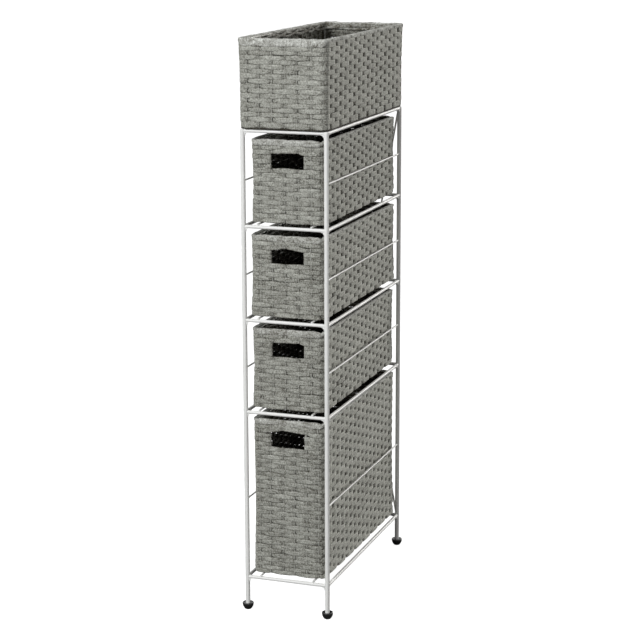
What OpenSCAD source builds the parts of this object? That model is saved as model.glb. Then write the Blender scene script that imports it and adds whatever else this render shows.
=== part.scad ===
// Slim bathroom storage tower: a welded rod frame on four feet, four woven
// drawers that slide on runner wires, and an open woven basket on top.
// Millimetres. Origin on the floor under the centre of the frame.
// +Z is up, the fronts of the drawers face -Y, +X is to the right.

/* [Frame] */
// Distance between the left and right post axes
post_pitch_x = 175; // [140:1:260]
// Distance between the front and rear post axes
post_pitch_y = 481; // [320:1:600]
// Diameter of the posts
post_d = 9.5; // [8:0.5:12]
// Diameter of the bars and rails of the five rings
bar_d = 7; // [5:0.5:8]
// Height of the lowest ring's axis above the floor
leg_h = 71; // [40:1:120]
// Distance between the rings round the tall drawer
tall_bay = 354; // [300:1:420]
// Distance between the rings round each small drawer
small_bay = 191.3; // [160:0.1:230]
// Diameter of the two runner wires on each ring
runner_d = 4; // [3:0.5:6]
// Distance of a runner wire from the post axes beside it
runner_inset = 30.5; // [16:0.5:50]
// Diameter of the guard wires at the sides of each bay
guard_d = 3.5; // [2.5:0.5:5]
// Height of a small bay's guard wire, as a share of the bay
guard_share_small = 0.478; // [0.35:0.001:0.65]
// Height of the tall bay's guard wire, as a share of the bay
guard_share_tall = 0.475; // [0.35:0.001:0.65]
// Radius of the rounded upper end of a post
post_edge_r = 2.5; // [0.5:0.5:4]
// Diameter of the crossed wires on the back
brace_d = 4; // [3:0.5:6]
// Gap left at a welded joint
weld_gap = 0.05; // [0.02:0.01:0.2]

/* [Fillets under the rings] */
// Reach of the fillet along a front or rear bar
fillet_reach_bar = 7; // [4:0.5:12]
// Reach of the fillet along a side rail
fillet_reach_rail = 14; // [6:0.5:20]
// Drop of the fillets down the post
fillet_drop = 7; // [4:0.5:10]
// Thickness of the fillets
fillet_t = 4; // [2:0.5:6]

/* [Feet] */
// Diameter of a foot at its brim
foot_d = 23.5; // [20:0.5:34]
// Diameter of the flat face that stands on the floor
foot_base_d = 11; // [10:1:18]
// Height of a foot
foot_h = 14.5; // [12:0.5:22]
// Thickness of plastic under the post
foot_sole = 4; // [2:0.5:6]
// Depth of the dish round the post
dish_depth = 1.6; // [0.5:0.1:3]
// Radial clearance between a post and its foot
foot_clear = 0.1; // [0.02:0.01:0.3]

/* [Drawers] */
// Clearance between a drawer's side and the posts
drawer_side_clear = 6.75; // [5:0.25:15]
// Distance of a drawer's front face behind the front post axes
drawer_set_back = 9.5; // [0:0.5:20]
// Distance of a drawer's back face from the rear post axes
drawer_back_gap = 4.5; // [0:0.5:20]
// Gap over the rim of a small drawer, to the bar above
small_rim_gap = 13; // [11:0.5:30]
// Gap over the rim of the tall drawer, to the bar above
tall_rim_gap = 10.5; // [10.5:0.5:40]
// How far a drawer stands to the right of the frame's centre
drawer_shift = 1.5; // [-3:0.5:3]
// Height of the rim band of a drawer
drawer_rim_h = 12; // [8:0.5:20]
// Gap between a drawer's underside and its runners
slide_gap = 0.3; // [0.1:0.1:1]

/* [Hand holes] */
// Width of the hand hole
hole_w = 71; // [50:1:90]
// Height of the hand hole at its ends
hole_h = 23.5; // [18:1:40]
// Rise of the arched upper edge
hole_arch = 4.5; // [1:0.5:8]
// Distance from a small drawer's rim down to the ends of the arch
small_hole_drop = 32; // [20:0.5:45]
// Distance from the tall drawer's rim down to the ends of the arch
tall_hole_drop = 29.5; // [20:0.5:45]

/* [Top basket] */
// How far the top basket's foot reaches past the posts at each side
top_reach_side = -1; // [-10:0.5:10]
// How far the top basket's foot reaches past the posts at each end
top_reach_end = 3.75; // [-10:0.25:10]
// Height of the top basket
top_h = 174.5; // [120:0.5:220]
// Outward lean of each wall over the whole height
top_lean = 2.7; // [0:0.1:8]
// Height of the rim band of the top basket
top_rim_h = 15; // [8:0.5:25]

/* [Woven walls] */
// Thickness of a woven wall
wall_t = 4.5; // [3.5:0.1:6]
// Thickness of a woven floor
floor_t = 4; // [3:0.1:6]
// Outer radius of the upright corners
corner_r = 12; // [9:1:20]
// Radius of the edge round the floor
edge_r = 4.5; // [2:0.5:7]
// Height of one course of the weave
course_h = 9.1; // [7:0.1:14]
// Depth of the groove between two courses
groove_depth = 0.9; // [0.4:0.1:1.5]
// Height of the slope on each side of a groove
groove_slope = 1.4; // [0.6:0.1:2]
// How far the rim band stands proud of the courses
rim_proud = 0.5; // [0.2:0.1:1]
// Thickness of the rim's lip over the rim wire
lip_t = 3; // [2:0.1:5]

/* [Basket wires] */
// Diameter of the wire frame inside each basket
frame_wire_d = 3.2; // [2.4:0.2:4]
// Gap between the wire frame and the weave round it
wire_gap = 0.2; // [0.1:0.05:0.5]

/* [Hidden] */
$fn = 48;

half_x = post_pitch_x / 2;
half_y = post_pitch_y / 2;
post_r = post_d / 2;
bar_r = bar_d / 2;
small_bays = 3;

// Axis height of ring 1, the lowest, to ring 5, the highest.
function ring_z(i) = i == 1 ? leg_h : leg_h + tall_bay + (i - 2) * small_bay;
ring_count = small_bays + 2;

post_top = ring_z(ring_count) + bar_r;
runner_x = half_x - runner_inset;
// Baskets stand on the runner wires, which lie on the bars.
runner_rise = bar_r + runner_d / 2 + weld_gap;
basket_rise = runner_rise + runner_d / 2 + slide_gap;
brace_y = half_y + bar_r + brace_d / 2 + weld_gap;
// The bowed wire clears the straight one where they cross.
brace_bow = brace_d + weld_gap;
brace_reach = half_x - bar_r;
// Straight stretches in the drawn arc of the bowed wire.
bow_steps = 16;

drawer_w = post_pitch_x - post_d - 2 * drawer_side_clear;
drawer_l = post_pitch_y - drawer_set_back - drawer_back_gap;
// Centre of a drawer from front to back.
drawer_y = (drawer_set_back - drawer_back_gap) / 2;
small_drawer_h = small_bay - basket_rise - bar_r - small_rim_gap;
tall_drawer_h = tall_bay - basket_rise - bar_r - tall_rim_gap;
top_w = post_pitch_x + post_d + 2 * top_reach_side;
top_l = post_pitch_y + post_d + 2 * top_reach_end;
wire_r = frame_wire_d / 2;
// Inset of the wire frame's axis from a basket's woven face.
wire_inset = wall_t + wire_r + wire_gap;
lip_reach = wall_t + frame_wire_d + 2 * wire_gap;
wire_rise = floor_t + wire_r + wire_gap;
wire_drop = lip_t + wire_r + wire_gap;
wire_corner_r = corner_r - wire_inset > wire_r ? corner_r - wire_inset : wire_r + 0.4;
edge_steps = 5;
// How far the wall's own strip of floor reaches in from its face.
floor_lap = max(edge_r, wall_t) + 1;
fine = 0.01;
// A foot's outline: share of the way from its base's radius to its brim's,
// and share of its height.
foot_outline = [[0, 0], [0.28, 0.08], [0.55, 0.25], [0.8, 0.45], [0.94, 0.66], [1, 0.86], [0.97, 0.94], [0.86, 1]];

frame_white = [0.94, 0.94, 0.93];
foot_black = [0.06, 0.06, 0.06];
rope_grey = [0.56, 0.56, 0.53];
wire_grey = [0.45, 0.45, 0.43];

// ---------------------------------------------------------------- frame

// A straight round rod between two points.
module rod(from, to, d) {
    v = to - from;
    len = norm(v);
    tilt = acos(v.z / len);
    turn = atan2(v.y, v.x);
    translate(from) rotate([0, tilt, turn]) cylinder(d = d, h = len);
}

// One post with a rounded upper edge, standing in its foot.
module post(side, end) {
    color(frame_white)
    translate([side * half_x, end * half_y, 0])
    rotate_extrude()
    difference() {
        translate([0, foot_sole]) square([post_r, post_top - foot_sole]);
        translate([post_r - post_edge_r, post_top - post_edge_r])
        difference() {
            square(post_edge_r + 1);
            circle(post_edge_r);
        }
    }
}

// The space that the four posts take, with the weld gap round it.
module post_space(below, above) {
    for (side = [-1, 1], end = [-1, 1])
        translate([side * half_x, end * half_y, below])
            cylinder(r = post_r + weld_gap, h = above - below);
}

// A front or rear bar, its ends shaped to the posts.
module cross_bar(ring, end) {
    z = ring_z(ring);
    color(frame_white)
    difference() {
        rod([-half_x, end * half_y, z], [half_x, end * half_y, z], bar_d);
        post_space(z - bar_d, z + bar_d);
    }
}

// A lengthwise rod between the front and rear post of one side.
module side_rod(side, z, d) {
    color(frame_white)
    difference() {
        rod([side * half_x, -half_y, z], [side * half_x, half_y, z], d);
        post_space(z - d, z + d);
    }
}

module side_rail(ring, side) {
    side_rod(side, ring_z(ring), bar_d);
}

module guard(bay, side) {
    rise = bay == 1 ? guard_share_tall * tall_bay : guard_share_small * small_bay;
    side_rod(side, ring_z(bay) + rise, guard_d);
}

// The pair of wires that lie lengthwise on one ring's bars.
module runner_wires(ring) {
    z = ring_z(ring) + runner_rise;
    reach = half_y + bar_r;
    color(frame_white)
    for (side = [-1, 1])
        rod([side * runner_x, -reach, z], [side * runner_x, reach, z], runner_d);
}

// The straight wire, from the lower left corner of the back to the upper right one.
module brace_wire_straight() {
    color(frame_white)
    rod([-brace_reach, brace_y, ring_z(1)], [brace_reach, brace_y, ring_z(ring_count)], brace_d);
}

// The other wire, on a slight arc that clears the straight one where they cross.
module brace_wire_bowed() {
    rise = ring_z(ring_count) - ring_z(1);
    half_chord = norm([2 * brace_reach, rise]) / 2;
    arc_r = (half_chord * half_chord + brace_bow * brace_bow) / (2 * brace_bow);
    half_angle = asin(half_chord / arc_r);
    color(frame_white)
    translate([0, brace_y, (ring_z(1) + ring_z(ring_count)) / 2])
    rotate([0, -atan(2 * brace_reach / rise), 0])
    translate([0, brace_bow - arc_r, 0])
    rotate([0, -90, 0]) rotate([0, 0, 90 - half_angle])
        rotate_extrude(angle = 2 * half_angle, $fn = round(180 * bow_steps / half_angle))
            translate([arc_r, 0]) circle(d = brace_d, $fn = 48);
}

// Concave fillet in the corner under a bar that runs along +X from a post at the origin.
module fillet(reach, drop) {
    inner = post_r * 0.8;
    rise = bar_r * 0.6;
    rotate([90, 0, 0])
    linear_extrude(fillet_t, center = true)
    difference() {
        translate([inner, -bar_r - drop]) square([post_r - inner + reach, drop + bar_r - rise]);
        translate([post_r + reach, -bar_r - drop]) fillet_cutter(reach, drop);
    }
}

// A round cutter through the ends of the fillet's two legs.
module fillet_cutter(reach, drop) {
    chord = norm([reach, drop]);
    r = chord * 0.75;
    // The circle's centre lies on the outer side of the chord's middle.
    back = sqrt(r * r - chord * chord / 4);
    translate([-reach / 2 + back * drop / chord, drop / 2 - back * reach / chord])
        circle(r);
    translate([-fine, -r]) square([r, r + drop - fine]);
}

// The fillets of all five rings, four corners each, along the bar and along the rail.
module ring_fillets() {
    color(frame_white)
    for (ring = [1 : ring_count], side = [-1, 1], end = [-1, 1]) {
        z = ring_z(ring);
        difference() {
            translate([side * half_x, end * half_y, z])
                rotate([0, 0, side > 0 ? 180 : 0]) fillet(fillet_reach_bar, fillet_drop);
            corner_space(side, end, z);
        }
        difference() {
            translate([side * half_x, end * half_y, z])
                rotate([0, 0, end > 0 ? -90 : 90]) fillet(fillet_reach_rail, fillet_drop);
            corner_space(side, end, z);
        }
    }
}

// What stands in one corner of a ring: the post, the bar and the rail, with the weld gap.
module corner_space(side, end, z) {
    reach = post_r + fillet_reach_rail + fillet_reach_bar;
    translate([side * half_x, end * half_y, z]) {
        translate([0, 0, -reach]) cylinder(r = post_r + weld_gap, h = 2 * reach);
        rod([0, 0, 0], [-side * reach, 0, 0], bar_d + 2 * weld_gap);
        rod([0, 0, 0], [0, -end * reach, 0], bar_d + 2 * weld_gap);
    }
}

// A round plastic foot with a brim and a dished top, bored for the post.
module foot(side, end) {
    bore = post_r + foot_clear;
    base_r = foot_base_d / 2;
    brim_r = foot_d / 2;
    dish_z = foot_h - dish_depth;
    color(foot_black)
    translate([side * half_x, end * half_y, 0])
    rotate_extrude()
    difference() {
        polygon(concat(
            [for (p = foot_outline) [base_r + p[0] * (brim_r - base_r), p[1] * foot_h]],
            [[bore + dish_depth / 2, dish_z], [0, dish_z], [0, 0]]
        ));
        translate([-1, foot_sole]) square([bore + 1, foot_h]);
    }
}

// -------------------------------------------------------------- baskets

// Courses that fit a wall, from the floor's edge to the rim band.
function course_count(h, rim_h) = max(1, round((h - rim_h - edge_r) / course_h));

// Section of a woven wall in the plane of its outward direction and +Z.
// x = 0 is the woven face at the floor, and the wall leans outward by lean at height h.
function wall_section(h, rim_h, lean) =
    let (
        n = course_count(h, rim_h),
        pitch = (h - rim_h - edge_r) / n,
        out = function(z) lean * z / h,
        rim_z = h - rim_h,
        lip_r = min(lip_t, lip_reach) / 2
    )
    concat(
        [[-edge_r, 0]],
        [for (k = [1 : edge_steps - 1]) let (a = 90 * k / edge_steps)
            [-edge_r + edge_r * sin(a), edge_r - edge_r * cos(a)]],
        [for (i = [0 : n - 1]) let (z = edge_r + i * pitch) each [
            [out(z) - (i == 0 ? 0 : groove_depth), z],
            [out(z + groove_slope), z + groove_slope],
            [out(z + pitch - groove_slope), z + pitch - groove_slope]
        ]],
        [
            [out(rim_z) - groove_depth, rim_z],
            [out(rim_z) + rim_proud, rim_z + groove_slope],
            [lean + rim_proud, h - lip_r],
            [lean + rim_proud - lip_r, h],
            [lean - lip_reach + lip_r, h],
            [lean - lip_reach, h - lip_r],
            [lean - lip_reach, h - lip_t],
            [out(h - lip_t) - wall_t, h - lip_t],
            [out(floor_t) - wall_t, floor_t],
            [-floor_lap, floor_t],
            [-floor_lap, 0]
        ]
    );

// A rectangle with round corners, w by l over its sides.
module round_rect(w, l, r) {
    square([w - 2 * r, l], center = true);
    square([w, l - 2 * r], center = true);
    for (x = [-1, 1], y = [-1, 1])
        translate([x * (w / 2 - r), y * (l / 2 - r)]) circle(r);
}

// Carries a wall section round a rectangle with round corners.
// The children are drawn with x = 0 on the outline.
module carry_round(w, l, r) {
    for (turn = [0, 90, 180, 270]) {
        across = turn % 180 == 0 ? w : l;
        along = turn % 180 == 0 ? l : w;
        rotate([0, 0, turn]) {
            translate([across / 2, along / 2 - r, 0])
                rotate([90, 0, 0]) linear_extrude(along - 2 * r) children();
            translate([across / 2 - r, along / 2 - r, 0])
                rotate_extrude(angle = 90) translate([r, 0]) children();
        }
    }
}

// The closed woven shell of a basket, standing on z = 0.
module woven_shell(w, l, h, rim_h, lean) {
    color(rope_grey) {
        carry_round(w, l, corner_r) polygon(wall_section(h, rim_h, lean));
        linear_extrude(floor_t) round_rect(w - 2 * floor_lap, l - 2 * floor_lap, corner_r - floor_lap);
    }
}

// Outline of the hand hole, its lower edge on y = 0.
module hand_hole_outline() {
    arch_r = (hole_w * hole_w / 4 + hole_arch * hole_arch) / (2 * hole_arch);
    translate([-hole_w / 2, 0]) square([hole_w, hole_h]);
    intersection() {
        translate([0, hole_h + hole_arch - arch_r]) circle(arch_r, $fn = 180);
        translate([-hole_w / 2, hole_h - fine]) square([hole_w, hole_arch + 1]);
    }
}

// A drawer's shell with the hand hole through its front wall.
module drawer_shell(h, hole_drop) {
    difference() {
        woven_shell(drawer_w, drawer_l, h, drawer_rim_h, 0);
        translate([0, -drawer_l / 2 + wall_t + 1, h - hole_drop - hole_h])
            rotate([90, 0, 0]) linear_extrude(wall_t + 2) hand_hole_outline();
    }
}

// A closed wire ring, its axis on a rectangle with round corners.
module wire_ring(w, l, r) {
    carry_round(w, l, r) circle(wire_r);
}

// The wire frame inside a basket: a rim ring, a floor ring and four uprights.
module wire_frame(w, l, h, lean) {
    low = wire_rise;
    high = h - wire_drop;
    out = function(z) lean * z / h;
    // Distance of an upright from the corner of the rectangle round its ring.
    cut = function(z) (wire_corner_r + out(z)) * (1 - 1 / sqrt(2));
    at = function(x, y, z) [
        x * (w / 2 - wire_inset + out(z) - cut(z)), y * (l / 2 - wire_inset + out(z) - cut(z)), z
    ];
    step = [0, 0, wire_r + weld_gap];
    color(wire_grey) {
        for (z = [low, high]) {
            grow = 2 * (out(z) - wire_inset);
            translate([0, 0, z]) wire_ring(w + grow, l + grow, wire_corner_r + out(z));
        }
        for (x = [-1, 1], y = [-1, 1])
            rod(at(x, y, low) + step, at(x, y, high) - step, frame_wire_d);
    }
}

// Puts a drawer's children in the bay above a ring.
module in_bay(bay) {
    translate([drawer_shift, drawer_y, ring_z(bay) + basket_rise]) children();
}

module tall_drawer() { in_bay(1) drawer_shell(tall_drawer_h, tall_hole_drop); }
module tall_drawer_wires() { in_bay(1) wire_frame(drawer_w, drawer_l, tall_drawer_h, 0); }
module small_drawer(i) { in_bay(i + 1) drawer_shell(small_drawer_h, small_hole_drop); }
module small_drawer_wires(i) { in_bay(i + 1) wire_frame(drawer_w, drawer_l, small_drawer_h, 0); }

module top_basket() {
    translate([0, 0, ring_z(ring_count) + basket_rise])
        woven_shell(top_w, top_l, top_h, top_rim_h, top_lean);
}
module top_basket_wires() {
    translate([0, 0, ring_z(ring_count) + basket_rise]) wire_frame(top_w, top_l, top_h, top_lean);
}

post(-1, -1);  // post_front_left
post(1, -1);  // post_front_right
post(-1, 1);  // post_rear_left
post(1, 1);  // post_rear_right
foot(-1, -1);  // foot_front_left
foot(1, -1);  // foot_front_right
foot(-1, 1);  // foot_rear_left
foot(1, 1);  // foot_rear_right
cross_bar(1, -1);  // front_bar_1
cross_bar(2, -1);  // front_bar_2
cross_bar(3, -1);  // front_bar_3
cross_bar(4, -1);  // front_bar_4
cross_bar(5, -1);  // front_bar_5
cross_bar(1, 1);  // rear_bar_1
cross_bar(2, 1);  // rear_bar_2
cross_bar(3, 1);  // rear_bar_3
cross_bar(4, 1);  // rear_bar_4
cross_bar(5, 1);  // rear_bar_5
side_rail(1, -1);  // left_rail_1
side_rail(2, -1);  // left_rail_2
side_rail(3, -1);  // left_rail_3
side_rail(4, -1);  // left_rail_4
side_rail(5, -1);  // left_rail_5
side_rail(1, 1);  // right_rail_1
side_rail(2, 1);  // right_rail_2
side_rail(3, 1);  // right_rail_3
side_rail(4, 1);  // right_rail_4
side_rail(5, 1);  // right_rail_5
runner_wires(1);  // runner_wires_1
runner_wires(2);  // runner_wires_2
runner_wires(3);  // runner_wires_3
runner_wires(4);  // runner_wires_4
runner_wires(5);  // runner_wires_5
guard(1, -1);  // left_guard_1
guard(2, -1);  // left_guard_2
guard(3, -1);  // left_guard_3
guard(4, -1);  // left_guard_4
guard(1, 1);  // right_guard_1
guard(2, 1);  // right_guard_2
guard(3, 1);  // right_guard_3
guard(4, 1);  // right_guard_4
brace_wire_straight();
brace_wire_bowed();
ring_fillets();
tall_drawer();
small_drawer(1);  // small_drawer_1
small_drawer(2);  // small_drawer_2
small_drawer(3);  // small_drawer_3
top_basket();
tall_drawer_wires();
small_drawer_wires(1);  // small_drawer_1_wires
small_drawer_wires(2);  // small_drawer_2_wires
small_drawer_wires(3);  // small_drawer_3_wires
top_basket_wires();
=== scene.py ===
"""Looks of the slim bathroom storage tower: baskets woven strand by strand in place of the CAD shells."""

import math
from collections import namedtuple

import bpy
import numpy as np
from mathutils import Matrix, Vector


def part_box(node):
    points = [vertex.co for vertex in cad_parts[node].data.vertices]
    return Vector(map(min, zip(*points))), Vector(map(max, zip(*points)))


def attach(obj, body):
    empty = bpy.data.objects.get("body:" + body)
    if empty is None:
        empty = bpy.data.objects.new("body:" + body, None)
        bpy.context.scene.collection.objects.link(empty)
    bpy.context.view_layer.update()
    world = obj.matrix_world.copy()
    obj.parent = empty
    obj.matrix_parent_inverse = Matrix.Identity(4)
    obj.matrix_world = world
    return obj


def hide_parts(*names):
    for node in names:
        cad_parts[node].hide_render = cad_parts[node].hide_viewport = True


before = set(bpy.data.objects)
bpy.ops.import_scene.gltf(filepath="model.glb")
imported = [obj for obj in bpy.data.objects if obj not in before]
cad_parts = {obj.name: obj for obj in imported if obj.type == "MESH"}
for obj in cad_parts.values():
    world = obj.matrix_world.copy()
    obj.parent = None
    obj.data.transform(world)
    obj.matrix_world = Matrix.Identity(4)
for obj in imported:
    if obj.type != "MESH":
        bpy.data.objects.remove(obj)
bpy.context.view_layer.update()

# The weave is worked out in mm, and written in metres.
MM = 0.001
UP = np.array([0.0, 0.0, 1.0])

# ------------------------------------------------------------------ outline


class Outline:
    """A rectangle with round corners, walked anticlockwise from the left end of its straight front."""

    def __init__(self, half_w, half_l, r):
        self.half_w = half_w
        self.half_l = half_l
        self.r = r
        self.front = 2 * (half_w - r)
        self.side = 2 * (half_l - r)
        self.arc = math.pi * r / 2
        self.total = 2 * (self.front + self.side) + 4 * self.arc

    def on_front(self, x):
        """Arc position of the place x on the front wall."""
        return np.asarray(x, float) + self.half_w - self.r

    def on_right(self, y):
        """Arc position of the place y on the right wall."""
        return self.front + self.arc + np.asarray(y, float) + self.half_l - self.r

    def corner(self, k):
        """Arc position of the middle of corner k, anticlockwise from the left front one."""
        return self.front * ((k + 1) // 2) + self.side * (k // 2) + self.arc * (k - 0.5)

    def at(self, s):
        """Points (n, 2) and outward normals (n, 2) at the arc positions s."""
        s = np.asarray(s, float) % self.total
        a, b, r = self.half_w, self.half_l, self.r
        points = np.zeros((len(s), 2))
        normals = np.zeros((len(s), 2))
        # Each wall's first point, direction and length, and the centre and first angle of the next corner.
        walls = (
            ((-(a - r), -b), (1, 0), self.front, (a - r, -(b - r)), -90),
            ((a, -(b - r)), (0, 1), self.side, (a - r, b - r), 0),
            ((a - r, b), (-1, 0), self.front, (-(a - r), b - r), 90),
            ((-a, b - r), (0, -1), self.side, (-(a - r), -(b - r)), 180),
        )
        start = 0.0
        for first, along, length, centre, angle in walls:
            flat = (s >= start) & (s < start + length)
            points[flat] = np.array(first) + (s[flat] - start)[:, None] * np.array(along)
            normals[flat] = (along[1], -along[0])
            start += length
            bend = (s >= start) & (s < start + self.arc)
            t = np.radians(angle + 90 * (s[bend] - start) / self.arc)
            normals[bend] = np.stack([np.cos(t), np.sin(t)], 1)
            points[bend] = np.array(centre) + r * normals[bend]
            start += self.arc
        return points, normals


def away(s, marks, total):
    """Distance from each s to the nearest mark, and which gap between marks it lies in."""
    d = np.abs((s[:, None] - marks[None, :] + total / 2) % total - total / 2)
    return d.min(1), np.searchsorted(marks, s % total) % len(marks)


def hill(d, width, at=0.0):
    """A smooth hill that is 1 where d is `at`, and 1/e at `width` from there."""
    return np.exp(-(((d - at) / width) ** 2))


def corner_share(n):
    """1 in the middle of a round corner and 0 on the straight walls, from the outward normals."""
    return (2 * n[:, 0] * n[:, 1]) ** 2


def left_share(n):
    """1 on the left wall and 0 on the front, right and back walls, from the outward normals."""
    return np.clip(-n[:, 0], 0, 1)


# ------------------------------------------------------------------ strands

# Sections of a flat rope as shares of its half thickness, outwards, and of its half height, upwards.
# Both have 12 points: 9 on the outside, from the bottom up, and 3 on the inside.
FLAT = np.array([
    (0, -1), (0.52, -0.93), (0.84, -0.7), (0.97, -0.38), (1, 0),
    (0.97, 0.38), (0.84, 0.7), (0.52, 0.93), (0, 1),
    (-0.85, 0.6), (-1, 0), (-0.85, -0.6),
])
OVAL = np.array([
    (0, -1), (0.36, -0.94), (0.70, -0.74), (0.92, -0.42), (1, 0.02),
    (0.96, 0.36), (0.80, 0.66), (0.42, 0.92), (0, 1),
    (-0.85, 0.6), (-1, 0), (-0.85, -0.6),
])
OUTSIDE = 9
# A crease along the middle of the outside.
CREASE = np.where((np.arange(len(FLAT)) == 4)[:, None], (-0.28, 0), 0)
# Painted shade: tone of a section's points on the inside, and 1 for those at its seams, the upper and lower
# edges, which get painted shade and dirt.
INNER_SHADE = np.where(FLAT[:, 0] < 0, -0.4, 0)
SEAM = np.where((FLAT[:, 0] >= 0) & (np.abs(FLAT[:, 1]) > 0.85), 1.0, 0)
# A round strand, and the painted shade on its points that face inwards.
ROUND = np.array([(math.cos(t), math.sin(t)) for t in np.radians(np.arange(0, 360, 60))])
ROUND_INNER_SHADE = np.where(ROUND[:, 0] < -0.2, -0.6, 0)


class Weave:
    """Gathers strands and writes them as one mesh."""

    def __init__(self):
        self.points = []
        self.quads = []
        self.uv = []
        self.tones = []
        self.count = 0
        self.lane = 0

    def strand(self, centre, across, up, section, s, tone, closed):
        """Adds a strand with n rings of m points.

        centre is (n, 3), and across and up are (n, 3) or (3,). section is (n, m, 2) or (m, 2), in mm.
        s is the length so far, (n,). tone is (n,) or (n, m). A closed strand is joined end to end.
        """
        n = len(centre)
        m = section.shape[-2]
        across = np.broadcast_to(across, centre.shape)
        up = np.broadcast_to(up, centre.shape)
        rings = np.broadcast_to(section, (n, m, 2))
        points = centre[:, None, :] + across[:, None, :] * rings[:, :, :1] + up[:, None, :] * rings[:, :, 1:]
        self.points.append(points.reshape(-1, 3))
        tone = tone[:, None] if tone.ndim == 1 else tone
        self.tones.append(np.broadcast_to(tone, (n, m)).ravel())
        rows = n if closed else n - 1
        i = np.arange(rows)[:, None]
        j = np.arange(m)[None, :]
        i2 = (i + 1) % n
        j2 = (j + 1) % m
        quads = np.stack([i * m + j, i2 * m + j, i2 * m + j2, i * m + j2], -1).reshape(-1, 4)
        self.quads.append(quads + self.count)
        # The map runs along the strand in u and round it in v, with one lane of v for each strand.
        ahead = np.append(s[1:], s[-1] + (s[-1] - s[-2]))
        u = np.stack([s[:rows], ahead[:rows], ahead[:rows], s[:rows]], 1)[:, None, :].repeat(m, 1)
        v = np.stack([j / m, j / m, (j + 1) / m, (j + 1) / m], -1).astype(float).repeat(rows, 0)
        self.uv.append(np.stack([u, v + self.lane], -1).reshape(-1, 2))
        if not closed:
            self.cap(0, m, s[0], flip=True)
            self.cap((n - 1) * m, m, s[-1], flip=False)
        self.count += n * m
        self.lane += 1

    def cap(self, base, m, s, flip):
        """Closes the end of a strand by a fan of quads over its section."""
        fan = []
        for k in range((m - 2) // 2):
            quad = [base + k, base + k + 1, base + m - 2 - k, base + m - 1 - k]
            fan.append(quad[::-1] if flip else quad)
        self.quads.append(np.array(fan) + self.count)
        self.uv.append(np.tile([[s, self.lane + 0.5]], (len(fan) * 4, 1)))

    def build(self, name, material, body, slot):
        """Writes the mesh, with its two maps and its tones, as one object that rides on a body."""
        points = np.concatenate(self.points) * MM
        quads = np.concatenate(self.quads)
        uv = np.concatenate(self.uv)
        mesh = bpy.data.meshes.new(name)
        mesh.vertices.add(len(points))
        mesh.vertices.foreach_set("co", points.ravel().astype(np.float32))
        mesh.loops.add(quads.size)
        mesh.loops.foreach_set("vertex_index", quads.ravel().astype(np.int32))
        mesh.polygons.add(len(quads))
        mesh.polygons.foreach_set("loop_start", np.arange(0, quads.size, 4, dtype=np.int32))
        mesh.polygons.foreach_set("use_smooth", np.ones(len(quads), bool))
        mesh.update(calc_edges=True)
        strand = mesh.uv_layers.new(name="strand")
        strand.data.foreach_set("uv", (uv * (0.01, 1)).ravel().astype(np.float32))
        bake = mesh.uv_layers.new(name="OFBake")
        shifted = uv - uv.min(0)
        bake.data.foreach_set("uv", (shifted / shifted.max(0)).ravel().astype(np.float32))
        tone = mesh.attributes.new("tone", "FLOAT", "POINT")
        tone.data.foreach_set("value", np.concatenate(self.tones).astype(np.float32))
        mesh.materials.append(material)
        mesh.validate()
        ob = bpy.data.objects.new(name, mesh)
        bpy.context.scene.collection.objects.link(ob)
        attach(ob, body)
        return ob


# ---------------------------------------------------------------- materials


def new_material(name):
    mat = bpy.data.materials.new(name)
    mat.use_nodes = True
    nt = mat.node_tree
    return mat, nt, nt.nodes["Principled BSDF"]


def node(nt, kind, **props):
    """A new node, with its inputs and properties set by name."""
    n = nt.nodes.new(kind)
    for key, value in props.items():
        if key in n.inputs:
            n.inputs[key].default_value = value
        else:
            setattr(n, key, value)
    return n


def noise(nt, vector, **props):
    n = node(nt, "ShaderNodeTexNoise", **props)
    nt.links.new(vector, n.inputs["Vector"])
    return n.outputs["Fac"]


def weighted(nt, value, weight, total):
    """The total plus a value times its weight."""
    n = node(nt, "ShaderNodeMath", operation="MULTIPLY_ADD")
    nt.links.new(value, n.inputs[0])
    n.inputs[1].default_value = weight
    nt.links.new(total, n.inputs[2])
    return n.outputs[0]


def in_range(nt, value, start, end):
    """A value mapped from one range to another, and held within it."""
    n = node(nt, "ShaderNodeMapRange")
    n.inputs["From Min"].default_value = start[0]
    n.inputs["From Max"].default_value = start[1]
    n.inputs["To Min"].default_value = end[0]
    n.inputs["To Max"].default_value = end[1]
    nt.links.new(value, n.inputs["Value"])
    return n.outputs[0]


def mixed_colour(nt, factor, low, high):
    """A colour from low to high. Inputs 6 and 7 and output 2 of the node are its colours."""
    n = node(nt, "ShaderNodeMix", data_type="RGBA")
    n.inputs[6].default_value = (*low, 1)
    n.inputs[7].default_value = (*high, 1)
    nt.links.new(factor, n.inputs[0])
    return n.outputs[2]


def add_bump(nt, bsdf, height, strength, distance):
    n = node(nt, "ShaderNodeBump", Strength=strength, Distance=distance)
    nt.links.new(height, n.inputs["Height"])
    nt.links.new(n.outputs[0], bsdf.inputs["Normal"])


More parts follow.
